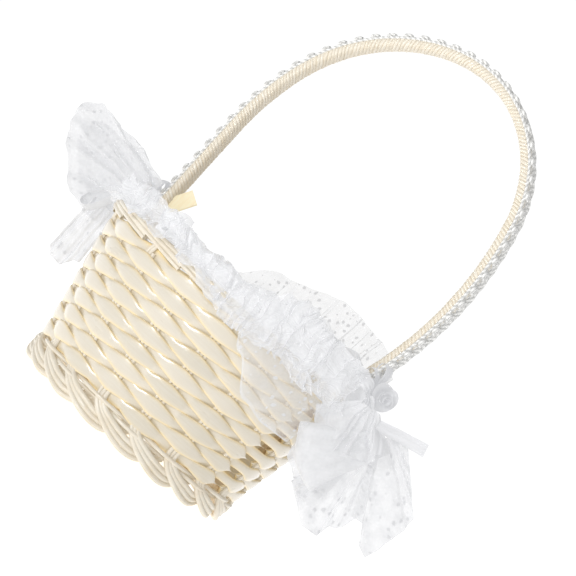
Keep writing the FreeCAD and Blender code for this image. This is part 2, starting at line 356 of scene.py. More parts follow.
def wrap_material():
    """Narrow splint wound round the handle, with painted shade that turns it tan in the grooves between its
    turns.
    """
    material, tree, shader = start_material("wound_splint", Coat_Weight=0.15, Coat_Roughness=0.3,
            Emission_Strength=0.10, Emission_Color=(0.92, 0.76, 0.52, 1.0))
    fibre = fractal(tree, "UV", (700.0, 90.0, 1.0), 2.0, Roughness=0.5)
    body = mix_colour(tree, ramp(tree, fibre, 0.3, 0.7), WRAP_PALE, WRAP_DEEP)
    body = mix_colour(tree, calculate(tree, "MULTIPLY", attribute(tree, "tone"), 0.4), body, WRAP_WARM)
    # Painted shade: tan in the grooves between the strands.
    edge = calculate(tree, "POWER", attribute(tree, "edge"), 2.4)
    set_colour(tree, shader, mix_colour(tree, edge, body, WRAP_GROOVE_SHADE))
    set_roughness(tree, shader, fibre, (0.3, 0.7), (0.40, 0.58))
    return material


def braid_material():
    """Twisted white cord, with painted shade that turns it grey in the grooves between its twists."""
    material, tree, shader = start_material("gimp_cord", Sheen_Weight=0.3, Sheen_Roughness=0.4,
            Emission_Strength=0.14, Emission_Color=(0.98, 0.98, 0.96, 1.0))
    twist = add_node(tree, "TexWave", {"bands_direction": "DIAGONAL"},
            Vector=place(tree, "UV", (1.0, 1.0, 1.0)), Scale=190.0, Distortion=0.4,
            Detail=1.0).outputs["Fac"]
    # Painted shade: grey in the grooves between the cord's twists.
    set_colour(tree, shader, mix_colour(tree, twist, CORD_GROOVE_SHADE, CORD_LIGHT))
    set_roughness(tree, shader, twist, (0.0, 1.0), (0.5, 0.34))
    set_bump(tree, shader, twist, 0.00012, 0.5)
    return material


def satin_material():
    """White satin ribbon: soft sheen, with threads along the ribbon."""
    material, tree, shader = start_material("satin_ribbon", Sheen_Weight=0.4, Sheen_Roughness=0.35,
            Anisotropic=0.5, Emission_Strength=0.33, Emission_Color=COOL_GLOW)
    thread = fractal(tree, "UV", (2600.0, 180.0, 1.0), 3.0)
    patch = fractal(tree, "UV", (90.0, 90.0, 1.0), 2.0)
    set_colour(tree, shader, mix_colour(tree, patch, SATIN_DARK, SATIN_LIGHT))
    set_roughness(tree, shader, thread, (0.3, 0.7), (0.30, 0.42))
    set_bump(tree, shader, thread, 0.00006, 0.5)
    return material


MESHES_PER_METRE = 1400.0
DOTS_PER_METRE = 220.0
# Painted shade: the white dots are painted darker than the net, as they look against the bright backdrop.
DOT_PAINTED_SHADE = 0.74          # of a dot's grey against the net's
HEM_SOLID = 0.62


def tulle_material(name, ground, net, dots, body, glow):
    """Soft net with flocked dots. ground, net and dots are how solid the net's holes, its threads
    and its dots are, body is its grey, and glow is the light that comes through it."""
    material, tree, shader = start_material(name, Roughness=0.75, Sheen_Weight=0.35, Sheen_Roughness=0.5,
            Emission_Strength=glow, Emission_Color=COOL_GLOW)
    uv = add_node(tree, "TexCoord").outputs["UV"]
    cells = add_node(tree, "TexVoronoi", {"feature": "DISTANCE_TO_EDGE", "voronoi_dimensions": "2D"},
            Vector=uv, Scale=MESHES_PER_METRE, Randomness=0.35).outputs["Distance"]
    threads = ramp(tree, cells, 0.06, 0.22, 1.0, 0.0)
    solid = add_node(tree, "MapRange", Value=threads, To_Min=ground, To_Max=net).outputs["Result"]
    cloud = add_node(tree, "TexNoise", Vector=uv, Scale=110.0, Detail=2.0).outputs["Fac"]
    solid = calculate(tree, "MULTIPLY", solid, ramp(tree, cloud, 0.25, 0.75, 0.8, 1.2))
    warp = add_node(tree, "TexNoise", Vector=uv, Scale=420.0, Detail=1.0).outputs["Color"]
    bent = in_order(tree, "VectorMath", {"operation": "MULTIPLY_ADD"},
            [(0, warp), (1, (0.0016, 0.0016, 0.0)), (2, uv)]).outputs[0]
    spot = add_node(tree, "TexVoronoi", {"voronoi_dimensions": "2D"}, Vector=bent,
            Scale=DOTS_PER_METRE, Randomness=0.85)
    chance = add_node(tree, "SeparateColor", Color=spot.outputs["Color"]).outputs["Red"]
    size = ramp(tree, chance, 0.30, 1.0, 0.0, 0.27)
    dot = calculate(tree, "MULTIPLY", calculate(tree, "LESS_THAN", spot.outputs["Distance"], size), dots)
    hem = calculate(tree, "MULTIPLY", attribute(tree, "hem"), HEM_SOLID)
    solid = calculate(tree, "MAXIMUM", calculate(tree, "MAXIMUM", solid, hem), dot)
    tree.links.new(calculate(tree, "MINIMUM", solid, 1.0), shader.inputs["Alpha"])
    net_colour = (body, body, body * 1.02, 1.0)
    # Painted shade: the dots are painted darker than the net.
    dot_colour = (body * DOT_PAINTED_SHADE, body * DOT_PAINTED_SHADE, body * 0.76, 1.0)
    set_colour(tree, shader, mix_colour(tree, dot, net_colour, dot_colour))
    set_bump(tree, shader, calculate(tree, "ADD", threads, dot), 0.00015, 0.4)
    return material


# ---- Woven wall ----
SWING = 1.55              # of a strip's middle, in front of and behind the stakes
STRIP_CROWN = 0.62        # how far its outer face bulges
STRIP_BACK = 0.35         # how far its inner face bulges
STRIP_BODY = 0.35         # thickness between those bulges
EDGE_BACK = 0.25          # how far the strip is set out from its middle line
TALLEST = 9.5             # of a strip where it passes a stake
STEPS_PER_STAKE = 20
OUTER_FACE = 2.9          # of a CAD row, from the stakes' middle
# Beside the right handle leg the strips are pinched, which leaves openings. Each pinch is
# (angle, half width), for the rows of even and of odd index.
EVEN_PINCH = (-9.5, 6.8)
EVEN_LOSS = 0.97          # share of an even row's height that it loses there
ODD_PINCH = (-9.0, 6.6)
ODD_HALF = 0.52           # half height of an odd row there, as a share of the rows' pitch
ROW_SEED = 40
STAKE_SEED = 300
STRAND_SEED = 7


def row_node(index):
    return "weaver_row_%02d" % (index + 1)


def row_height(index):
    """Height of a CAD row's middle."""
    low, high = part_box(row_node(index))
    return (low.z + high.z) / 2.0 / MM


def furthest_out(nodes, index):
    """Largest distance of a CAD row from the axis."""
    return max(math.hypot(corner.co.x, corner.co.y) for corner in nodes[row_node(index)].data.vertices) / MM


def pinch(degrees, middle, half_width):
    """1 over a stretch of the wall and 0 away from it."""
    return np.exp(-((degrees - middle) / half_width) ** 4)


def woven_row(nodes, index, material):
    """One strip. It is tallest where it passes a stake and narrows between the stakes."""
    middle = row_height(index)
    pitch = (row_height(ROW_COUNT - 1) - row_height(0)) / (ROW_COUNT - 1)
    radius = furthest_out(nodes, index) - OUTER_FACE
    flare = (furthest_out(nodes, ROW_COUNT - 1) - furthest_out(nodes, 0)) / (pitch * (ROW_COUNT - 1))
    vary = np.random.default_rng(ROW_SEED + index).normal(0.0, 1.0, (4, STAKE_COUNT))
    angle = np.linspace(0.0, TURN, STAKE_COUNT * STEPS_PER_STAKE + 1)
    stakes_passed = angle * STAKE_COUNT / TURN
    swing = np.cos((stakes_passed + (index + 1) % 2) * math.pi)
    peaked = np.abs(np.arcsin(swing)) / (math.pi / 2.0)
    width_share = 0.85 * peaked + 0.15 * np.abs(swing)
    lens = np.floor(stakes_passed + 0.5).astype(int) % STAKE_COUNT
    near = np.abs(swing) ** 0.7
    half = pitch / 2.0 + 0.15 + (TALLEST - pitch) / 2.0 * width_share * (1.0 + 0.03 * vary[0][lens] * near)
    rise = 0.16 * vary[1][lens] * near
    push = 0.12 * vary[2][lens] * near
    degrees = (np.degrees(angle) + 180.0) % 360.0 - 180.0
    if index % 2 == 0:
        half = half * (1.0 - EVEN_LOSS * pinch(degrees, *EVEN_PINCH))
    else:
        half = half - (half - ODD_HALF * pitch) * pinch(degrees, *ODD_PINCH)
    face = np.linspace(-1.0, 1.0, 11)
    outer = STRIP_CROWN * (1.0 - face ** 2) ** 0.75 + EDGE_BACK
    inner = -STRIP_BACK * (1.0 - 0.5 * face ** 2) + EDGE_BACK - STRIP_BODY
    across = np.concatenate([face, face[::-1], face[:1]])
    depth = np.concatenate([outer, inner[::-1], outer[:1]])
    lift = across * half[:, None] + rise[:, None]
    reach = radius + flare * lift + (SWING * swing + push)[:, None] + depth
    reach = reach - 0.35 * (1.0 - near[:, None]) * across ** 2
    points = np.stack([reach * np.cos(angle)[:, None], reach * np.sin(angle)[:, None], middle + lift], axis=2)
    uv = np.stack(np.broadcast_arrays((angle * radius)[:, None], lift + index * 40.0), axis=2)
    # Painted shade: edge grows towards the strip's edges, where it tucks under its neighbours, and where it
    # passes behind a stake.
    edge = across ** 2 * 0.9 + 0.42 * ((1.0 - swing[:, None]) / 2.0) ** 2
    tone = np.clip(0.5 + 0.3 * vary[3][lens], 0.0, 1.0)[:, None] * np.ones_like(lift)
    add_piece("woven_row_%02d" % (index + 1), row_node(index), points, grid_faces(len(angle), len(across)),
            material, uv, {"edge": np.clip(edge, 0.0, 1.0), "tone": tone})


# ---- Stakes, with their foot arcs and rim strands ----
ROD_RADIUS = 1.15
ROD_SPACING = 2.2
STACKED = 0.93            # spacing of rods that lie one above another, as a share of the same
FOOT_THICKER = 1.42       # how much thicker the rods are along the foot, and how much further apart
WALL_BASE = (71.5, 19.7)  # radius and height of the lowest row
WALL_FLARE = 0.2043       # radius gained for each millimetre of height
# Each point of a path is (degrees ahead of the stake, out from the wall, height), and the last
# number says how far the three rods' spacing has turned from sideways (0) to upright (1).
FOOT_PATH = [(0, 0, 26, 0), (0, 0.2, 18, 0), (1.2, 1, 14, 0.2), (4.6, 2, 10.9, 0.5),
    (10, 2.6, 8.2, 0.8), (16.5, 2.8, 5.8, 1), (23, 1.8, 4.6, 1), (28.5, -0.6, 5.4, 1),
    (33, -2.8, 8.2, 1), (37, -4, 11.8, 1), (40, -4.6, 14.5, 1)]
WALL_PATH = [(0, 0, 40, 0), (0, 0, 60, 0), (0, 0, 75, 0)]
RIM_PATH = [(0, 0, 84, 0), (0, 0, 90, 0), (1.4, 0.3, 94.4, 0.35), (6, 1.1, 96.9, 0.8),
    (13, 1.9, 97.4, 1), (24, 2.6, 96.6, 1), (36, 3, 95.2, 1), (47, 2.6, 93.6, 1),
    (54, 1.4, 92.4, 1)]


def smooth_line(knots):
    """Curve that passes through every knot (Catmull-Rom)."""
    knots = np.asarray(knots, float)
    knots = np.concatenate([2 * knots[:1] - knots[1:2], knots, 2 * knots[-1:] - knots[-2:-1]])
    share = np.linspace(0.0, 1.0, 7, endpoint=False)[:, None]
    line = []
    for a, b, c, d in zip(knots, knots[1:], knots[2:], knots[3:]):
        line.append(0.5 * (2 * b + (c - a) * share + (2 * a - 5 * b + 4 * c - d) * share ** 2
                + (3 * b - a - 3 * c + d) * share ** 3))
    return np.concatenate(line + [knots[-2:-1]])


def stake_rods(index, material):
    """Three rods: up through the wall, along the foot at one end and along the rim at the other."""
    rng = np.random.default_rng(STAKE_SEED + index)
    rods = TubeSet(12)
    stake_angle = math.radians(index * STAKE_STEP)
    for rod in (-1, 0, 1):
        offset = rod * ROD_SPACING
        foot = [(*point, -FOOT_THICKER, 1) for point in reversed(FOOT_PATH)]
        wall = [(*point, -FOOT_THICKER, 0) for point in WALL_PATH]
        rim = [(*point, 1.0, 1) for point in (RIM_PATH if rod < 1 else RIM_PATH[:2])]
        knots = []
        for ahead, out, height, turn, stacking, wander in foot + wall + rim:
            radius = WALL_BASE[0] + WALL_FLARE * (height - WALL_BASE[1]) + out + 0.12 * rng.normal()
            angle = math.radians(index * STAKE_STEP + ahead) + offset * (1.0 - turn) / radius
            lift = 0.10 * rng.normal() * wander - offset * turn * stacking * STACKED
            knots.append((radius * math.cos(angle), radius * math.sin(angle), max(height + lift, ROD_RADIUS)))
        line = smooth_line(knots)
        thick = ROD_RADIUS * smooth_interp(line[:, 2], [13.0, 20.0], [FOOT_THICKER, 1.0])
        rods.add(line, thick, (math.cos(stake_angle), math.sin(stake_angle), 0.3))
    name = "stake_%02d" % (index + 1)
    rods.piece("rods_" + name, name, material, "reed")


# ---- Handle ----
# Each stretch is (length, degrees it turns clockwise) along the middle of the handle's strip.
HANDLE_FOOT = (-71.1, 45.0)     # x, z where the left end stands inside the wall
WALL_LEAN = 11.5
LEFT_PEG = [(40.0, 0.0)]
LEFT_SEAT = [(7.0, 0.0), (120.0 * math.radians(WALL_LEAN), WALL_LEAN)]
HOOP = [(61.6, 0.0)] + [(radius * math.radians(turn), turn) for radius, turn in
    ((155.2, 17.7), (97.3, 60.6), (81.5, 87.1), (196.9, 36))]
RIGHT_SEAT = [(93.2 * math.radians(9.9), -9.9), (9.0, 0.0)]
HANDLE_STEP = 0.2


def handle_line(stretches, start, heading):
    """Points and headings along stretches in the XZ plane."""
    x, z = start
    points, headings = [(x, z)], [heading]
    for length, degrees in stretches:
        count = max(2, int(length / HANDLE_STEP))
        for _ in range(count):
            heading -= math.radians(degrees) / count / 2.0
            x += length / count * math.cos(heading)
            z += length / count * math.sin(heading)
            heading -= math.radians(degrees) / count / 2.0
            points.append((x, z))
            headings.append(heading)
    return np.array(points), np.array(headings)


def handle_parts():
    """The wrapped length and the braided length, each as points, headings and distances."""
    peg = handle_line(LEFT_PEG, HANDLE_FOOT, math.radians(90.0 + WALL_LEAN))
    seat = handle_line(LEFT_SEAT, peg[0][-1], peg[1][-1])
    braided = handle_line(HOOP, seat[0][-1], seat[1][-1])
    end = handle_line(RIGHT_SEAT, braided[0][-1], braided[1][-1])
    points, headings = (np.concatenate([seat[at], braided[at][1:], end[at][1:]]) for at in (0, 1))
    return (points, headings, distances(points)), (*braided, distances(braided[0]))


WRAP_STARTS = 6           # strands of splint wound side by side
WRAP_LEAD = 14.0          # along the handle for one turn of a strand
WRAP_HALF_WIDTH = 4.7
WRAP_HALF_THICKNESS = 2.6
WRAP_INWARD = 0.9         # of the wrapping's middle, from the core's middle
RIDGE = 0.50              # height of a strand's rounded back
STRAND_LOOKS = 997        # how many different strands there are before they repeat


def handle_wrap(line, material):
    """Strands wound round the handle side by side, each a low ridge."""
    points, headings, length = line
    turn = np.linspace(0.0, TURN, 73)
    corner = np.abs(np.cos(turn)) ** 0.55 * np.sign(np.cos(turn))
    thin = np.abs(np.sin(turn)) ** 0.75 * np.sign(np.sin(turn))
    girth = distances(np.stack([corner * WRAP_HALF_WIDTH, thin * WRAP_HALF_THICKNESS], axis=1))
    strand = (length[:, None] / WRAP_LEAD + girth / girth[-1]) * WRAP_STARTS
    strand = strand + 0.10 * np.sin(length[:, None] * 0.37) + 0.07 * np.sin(length[:, None] * 0.9 + 1.0)
    across = strand - np.floor(strand)
    ridge = (4.0 * across * (1.0 - across)) ** 0.6
    number = np.floor(strand).astype(int) % STRAND_LOOKS
    table = np.random.default_rng(STRAND_SEED).uniform(0.0, 1.0, STRAND_LOOKS)
    lift = RIDGE * ridge * (0.8 + 0.4 * table[number]) - 0.05
    out = thin * (WRAP_HALF_THICKNESS + lift) - WRAP_INWARD
    side = corner * (WRAP_HALF_WIDTH + lift)
    x = points[:, :1] - np.sin(headings)[:, None] * out
    z = points[:, 1:] + np.cos(headings)[:, None] * out
    uv = np.stack(np.broadcast_arrays(strand * 2.0, girth), axis=2)
    # Painted shade: edge is highest in the grooves between the strands.
    values = {"edge": 1.0 - ridge, "tone": table[(number * 7) % STRAND_LOOKS]}
    surface = np.stack([x, side, z], axis=2)
    add_piece("wound_handle", "handle_wrap", surface, grid_faces(*surface.shape[:2]), material,
            uv, values)


BRAID_REPEAT = 9.7
BRAID_BASE = 1.7          # of the braid's back, from the core's middle
# Each cord of the band under the scrolls is (across, above the braid's back); the far edge is raised.
BRAID_BAND = [(-4.4, 0.0), (-2.8, -0.3), (-1.2, -0.4), (0.3, -0.2), (1.8, 0.6), (3.2, 1.0), (4.6, 0.9)]
BAND_RADIUS = 0.85
BAND_STITCH = 2.4         # along the band between its stitches
COIL_RADIUS = 0.86
COIL_SIZE = (0.35, 2.5)   # radius at a scroll's middle and at its rim
COIL_TURNS = 1.6
COIL_ACROSS = -2.9        # of a scroll's middle, from the handle's middle
SWEEP_RADIUS = 0.70


def handle_braid(line, material):
    """Scroll braid: a coil near the front edge in each repeat, and a cord that leaves it for the
    back edge, on a woven band."""
    points, headings, length = line
    count = int(length[-1] / BRAID_REPEAT)
    repeat = length[-1] / count
    cords = TubeSet(9)

    def locate(at, across, out):
        """Points across (+Y) and out from the handle's middle line."""
        heading = np.interp(at, length, headings)
        x = np.interp(at, length, points[:, 0]) - np.sin(heading) * out
        z = np.interp(at, length, points[:, 1]) + np.cos(heading) * out
        return np.stack([x, np.broadcast_to(across, x.shape), z], axis=1)

    fine = np.linspace(0.0, length[-1], count * 16)
    for number, (across, rise) in enumerate(BRAID_BAND):
        lift = 0.12 * np.sin(TURN * fine / BAND_STITCH + math.pi * number)
        cords.add(locate(fine, across, BRAID_BASE + rise + lift), BAND_RADIUS, (0, 1, 0.2))
    swirl = shares(30)
    spin = 0.9 - swirl * TURN * COIL_TURNS
    coil = COIL_SIZE[0] + (COIL_SIZE[1] - COIL_SIZE[0]) * swirl
    dome = BRAID_BASE + 0.9 + 1.2 * np.sqrt(np.maximum(0.0, 1.0 - (coil / 3.0) ** 2))
    sweep = shares(20)
    swept = -0.9 + 4.7 * np.sin(math.pi / 2.0 * np.minimum(1.0, sweep * 1.4))
    swept_out = BRAID_BASE + 1.5 + 0.3 * np.sin(math.pi * sweep)
    for number in range(count):
        middle = (number + 0.5) * repeat
        at = np.clip(middle + coil * np.cos(spin), 0.0, length[-1])
        cords.add(locate(at, coil * np.sin(spin) + COIL_ACROSS, dome), COIL_RADIUS, (0.3, 1, 0.5))
        at = np.clip(middle - 2.6 + repeat * sweep, 0.0, length[-1])
        cords.add(locate(at, swept, swept_out), SWEEP_RADIUS, (0.3, 1, 0.5))
    cords.piece("scroll_braid", "handle_trim", material, "gimp_braid")


END_LENGTH = 18.0
END_HALF_WIDTH = 4.8
END_THICKNESS = 0.35


def splint_end(material):
    """Loose end of the wrapping splint, sticking up beside the left leg."""
    low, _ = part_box("wrap_tail")
    root = np.array([low.x / MM - 0.5, -1.5, low.z / MM])
    along = shares(24)[:, None]
    across = np.linspace(-1.0, 1.0, 9)[None, :]
    rise = np.array([0.47, 0.20, 0.86])
    side = np.array([0.66, 0.30, -0.69])
    through = np.cross(side, rise)
    width = END_HALF_WIDTH * (0.72 + 0.28 * np.minimum(1.0, along * 3.0))
    front = root + rise * (END_LENGTH * along * (1.0 + 0.06 * across))[..., None]
    front = front + side * (width * across)[..., None]
    front = front + through * (1.2 * along ** 2 + 0.3 * across ** 2)[..., None]
    back = front - through * END_THICKNESS
    points = np.concatenate([front, back[:, ::-1], front[:, :1]], axis=1)
    edge = np.abs(np.concatenate([across, across[:, ::-1], across[:, :1]], axis=1)) * np.ones_like(along)
    add_piece("splint_end", "wrap_tail", points, grid_faces(*points.shape[:2]), material,
            surface_uv(points), {"edge": edge * 0.5, "tone": np.full(edge.shape, 0.1)})


# ---- Tulle round the rim ----
RUFFLE_MIDDLE = 91.5
RUFFLE_TOP = 102.0        # of the lobe and the panel, where they come out of the ruffle
COLUMNS_PER_DEGREE = 3.2
RUFFLE_DENTS = (12.0, 5.5)
FRONT_STOPS = [-166, -98, -79, -67, -44, -14]
FRONT_TOP = np.array([113, 114, 110, 111, 124, 119])
FRONT_BOTTOM = np.array([98, 98, 97, 89, 92, 91])
BACK_STOPS = [14, 60, 120, 166]
BACK_TOP = np.array([116, 117, 115, 112])
PANEL_STOPS = [14, 30, 48, 60, 86, 113, 131]
PANEL_TOP = np.array([110, 127, 137, 141, 145, 133, 112])


def ring_cloth(span, radii, stops, heights, spread, fold_count, seed, rough, rows=26):
    """Gathered strip round the rim over a span of angles. radii and heights are control values from
    its upper edge to its lower edge, each height a number or one number for each stop (an angle),
    and spread is how deep the folds are."""
    rng = np.random.default_rng(seed)
    columns = int((span[1] - span[0]) * COLUMNS_PER_DEGREE)
    share = shares(columns)
    degrees = span[0] + (span[1] - span[0]) * share
    down = shares(rows)
    weights = curve_weights(down, len(radii))
    levels = [smooth_interp(degrees, stops, np.broadcast_to(values, len(stops))) for values in heights]
    depth = np.interp(down, shares(len(spread)), spread)[:, None]
    phase = TURN * (fold_count * share + wavy(share, [(2.3, 0.9), (5.1, 0.6), (11.0, 0.4), (23.0, 0.2)], rng))
    lean = down[:, None] - 0.5
    phase = phase + lean * wavy(share, [(4.0, 2.2), (9.0, 1.4)], rng)
    strength = 1.0 + wavy(share, [(3.0, 0.3), (7.0, 0.35), (17.0, 0.3)], rng)
    radius = (weights @ np.array(radii))[:, None] + depth * strength * np.sin(phase)
    height = weights @ np.stack(levels)
    height = height + 0.35 * depth * wavy(share, [(6.0, 0.8), (13.0, 0.7), (29.0, 0.4)], rng)
    swing = np.radians(degrees) + depth * strength * 0.55 * np.sin(2.0 * phase) / RUFFLE_MIDDLE
    points = np.stack([radius * np.cos(swing), radius * np.sin(swing), height], axis=2)
    return crumple_twice(points, RUFFLE_DENTS, rough, seed)


def tulle_piece(name, node, points, material, hem=0.0):
    """A sheet of tulle."""
    piece = add_cloth(name, node, points, material, hem)


def lobe_points():
    """Single layer that hangs over the weave, and the hem along its free edge and one side."""
    degrees = np.linspace(-61.0, -14.0, 90)
    edge = smooth_interp(degrees, [-61.0, -52.0, -40.0, -27.0, -14.0], [96.0, 82.0, 64.5, 62.0, 63.0])
    down = shares(44)
    height = RUFFLE_TOP + (edge - RUFFLE_TOP) * down[:, None]
    wave = np.sin(np.radians(degrees * 14.0)) * (0.4 + 0.9 * down[:, None])
    side = np.exp(-((degrees + 56.0) / 5.0) ** 2) * np.sin(np.radians(degrees * 75.0)) * 1.4
    radius = 91.3 + 2.0 * np.sin(math.pi * down)[:, None] + 0.9 * wave + side * down[:, None]
    angle = np.radians(degrees)
    points = np.stack([radius * np.cos(angle), radius * np.sin(angle), height], axis=2)
    from_edge = (RUFFLE_TOP - edge) * (1.0 - down[:, None])
    return crumple(points, 12.0, 1.0, 21), (from_edge < 1.8) | (degrees < -59.5)


def front_ruffle(material, sheer):
    """Two gathered layers over the front of the rim, and a see-through lobe below them."""
    outer = ring_cloth((-165.0, -6.0), [90.0, 99.0, 86.0, 95.0, 97.5], FRONT_STOPS,
            [FRONT_TOP, FRONT_TOP - 4.0, 102.0, FRONT_BOTTOM + 5.0, FRONT_BOTTOM],
            [1.5, 1.7, 0.7, 1.4, 1.8], 21, 11, 4.4)
    tulle_piece("front_ruffle_outer", "ruffle_front", outer, material)
    inner = ring_cloth((-163.0, -7.0), [94.0, 90.0, 86.0, 91.0, 94.0], FRONT_STOPS,
            [FRONT_TOP - 1.0, FRONT_TOP - 8.0, 103.0, FRONT_BOTTOM + 6.0, FRONT_BOTTOM + 3.0],
            [2.2, 1.6, 0.7, 1.3, 1.7], 27, 12, 4.4)
    tulle_piece("front_ruffle_inner", "ruffle_front", inner, material)
    lobe, hem = lobe_points()
    tulle_piece("front_lobe", "ruffle_front", lobe, sheer, hem)


def back_ruffle(material, sheer):
    """Two gathered layers over the back of the rim, and a tall sheer panel that stands up."""
    outer = ring_cloth((14.0, 165.0), [91.0, 98.0, 86.0, 95.0, 97.0], BACK_STOPS,
            [BACK_TOP, BACK_TOP - 4.0, 102.0, 96.0, 91.0], [1.5, 1.9, 0.7, 1.6, 2.0], 30, 31, 3.4)
    tulle_piece("back_ruffle_outer", "ruffle_back", outer, material)
    inner = ring_cloth((16.0, 163.0), [93.0, 90.0, 86.0, 91.0, 94.0], BACK_STOPS,
            [BACK_TOP - 1.0, BACK_TOP - 8.0, 103.0, 97.0, 93.0],
            [2.4, 1.7, 0.7, 1.4, 1.8], 38, 32, 3.4)
    tulle_piece("back_ruffle_inner", "ruffle_back", inner, material)
    standing = PANEL_TOP - 103.0
    panel = ring_cloth((14.0, 131.0), [93.0, 91.0, 88.0, 87.5], PANEL_STOPS,
            [PANEL_TOP, PANEL_TOP - standing * 0.35, PANEL_TOP - standing * 0.7, RUFFLE_TOP],
            [0.6, 0.7, 0.8, 0.6], 2, 33, 0.8, rows=34)
    tulle_piece("back_panel", "ruffle_back", panel, sheer)


# ---- Bow shapes ----
VIEW_TURN = 28.0          # between the basket's own X axis and the side it is mostly shown from
DRAPE_ROWS = 44
DRAPE_COLUMNS = 110
DRAPE_DENTS = (13.0, 5.0)
RIBBON_WIDTHS = (3.0, 7.4)      # at the knot and at its widest
RIBBON_COLUMNS = 13


def facing(points):
    """Points given as (across, away, height) from the side the basket is mostly shown from."""
    angle = math.radians(VIEW_TURN)
    points = np.asarray(points, float)
    across, away = points[..., 0], points[..., 1]
    x = across * math.cos(angle) - away * math.sin(angle)
    y = across * math.sin(angle) + away * math.cos(angle)
    return np.stack([x, y, points[..., 2]], axis=-1)


def spaced(line, count):
    """Evenly spaced points along straight stretches between knots."""
    line = np.asarray(line, float)
    length = distances(line)
    at = np.linspace(0.0, length[-1], count)
    return np.stack([np.interp(at, length, line[:, axis]) for axis in range(3)], axis=1)


def drape(root, end, folds, depths, seed, bulge, rough, rows=DRAPE_ROWS, columns=DRAPE_COLUMNS):
    """Sheet from the line it is gathered along to its free edge, with folds that run between them.
    depths are the folds' depths at the root and at the free edge."""
    rng = np.random.default_rng(seed)
    first, last = spaced(root, columns), spaced(end, columns)
    out = shares(rows)[:, None]
    side = shares(columns)
    points = first[None] + (last - first)[None] * out[..., None]
    along = (last - first).mean(axis=0)
    through = unit(np.cross(along, last[-1] - last[0] + first[-1] - first[0]))
    phase = TURN * (folds * side + wavy(side, [(1.3, 0.30), (2.9, 0.16), (6.1, 0.06)], rng))
    phase = phase + 1.2 * out * wavy(side, [(2.0, 0.8), (5.0, 0.5)], rng)
    depth = depths[0] + (depths[1] - depths[0]) * out
    height = depth * (np.sin(phase) + 0.3 * np.sin(2.3 * phase + seed)) + bulge * np.sin(math.pi * out ** 0.8)
    return crumple_twice(points + height[..., None] * through, DRAPE_DENTS, rough, seed)


def looped(root, tip, across, widths, thickness, puff, ripples, seed, rows=64, columns=34):
    """Band that leaves a knot, turns at the tip and comes back. widths are (at the knot, widest)."""
    rng = np.random.default_rng(seed)
    root, across = np.asarray(root, float), np.asarray(across, float)
    along = np.asarray(tip, float) - root
    across = unit(across - along * (across @ along) / (along @ along))
    through = unit(np.cross(along, across))
    path = np.linspace(0.02, 0.98, rows)[:, None]
    side = np.linspace(-1.0, 1.0, columns)
    reach = np.sin(math.pi * path)
    half = (widths[0] + (widths[1] - widths[0]) * reach ** 0.7) / 2.0
    bulge = thickness * np.sin(TURN * path) * np.sqrt(np.maximum(0.0, 1.0 - puff * side ** 2))
    bulge = bulge + ripples * (1.15 - reach) * np.sin(math.pi * 3.5 * side + rng.uniform(0, 6))
    bulge = bulge + 0.35 * ripples * np.sin(math.pi * 2.0 * side + 5.0 * path)
    ahead = reach ** 0.85 * (1.0 - 0.14 * puff * side ** 2)
    return root + along * ahead[..., None] + across * (side * half)[..., None] + through * bulge[..., None]


def ribbon_rose(centre, front, size, seed):
    """Ribbon rolled from the middle outwards, its free edge turning out more with each turn."""
    front = unit(front)
    side = unit(np.cross(front, (0.13, 0.2, 1.0)))
    up = np.cross(side, front)
    share = shares(300)
    angle = share * 4.3 * TURN
    start = np.random.default_rng(seed).uniform(0, 6)
    petals = 0.10 * np.sin(angle * 1.55 + 0.6) + 0.05 * np.sin(angle * 2.7 + start)
    radius = size * (0.10 + 0.62 * share ** 0.85) * (1.0 + petals)
    rise = shares(16)[:, None]
    lean = size * (0.04 + 0.42 * share ** 1.6)
    spread = radius * (0.55 + 0.45 * rise ** 0.6) + lean * rise ** 2.4 * (1.0 + 1.5 * petals)
    depth = size * (-0.62 + (0.98 - 0.50 * share ** 1.3) * rise)
    depth = depth - size * 0.16 * share * rise ** 4
    depth = depth + 0.3 * np.sin(angle * 2.1) * rise ** 2
    points = centre + (spread * np.cos(angle))[..., None] * side
    return points + (spread * np.sin(angle))[..., None] * up + depth[..., None] * front


def knot(centre, axis, radius, half, seed):
    """Short band pulled round the middle of a bow, with creases along it."""
    axis = unit(axis)
    side = unit(np.cross(axis, (0.2, 0.1, 1.0)))
    up = np.cross(axis, side)
    turn = np.linspace(0.0, TURN, 49)
    along = np.linspace(-1.0, 1.0, 21)[:, None]
    crease = 0.28 * np.sin(along * 9.0 + seed + 0.5 * np.sin(turn * 2.0))
    reach = radius * (1.0 + 0.18 * along ** 2) + crease
    points = centre + (along * half)[..., None] * axis + (reach * np.cos(turn))[..., None] * side
    return points + (reach * np.sin(turn) * 0.8)[..., None] * up


def side_hems(share):
    """Where a drape is folded over along its two sides."""
    side = np.abs(np.linspace(-1.0, 1.0, DRAPE_COLUMNS))
    return np.broadcast_to(side > 1.0 - share, (DRAPE_ROWS, DRAPE_COLUMNS))


# ---- Bows ----
# The satin ribbon is 7.4 mm wide.
TAIL_HEM = side_hems(0.03)
LEAF = facing((0.62, 0.78, 0.0))      # across the two loops that stand up like leaves
UPRIGHT = (0.2, 0.0, 1.0)
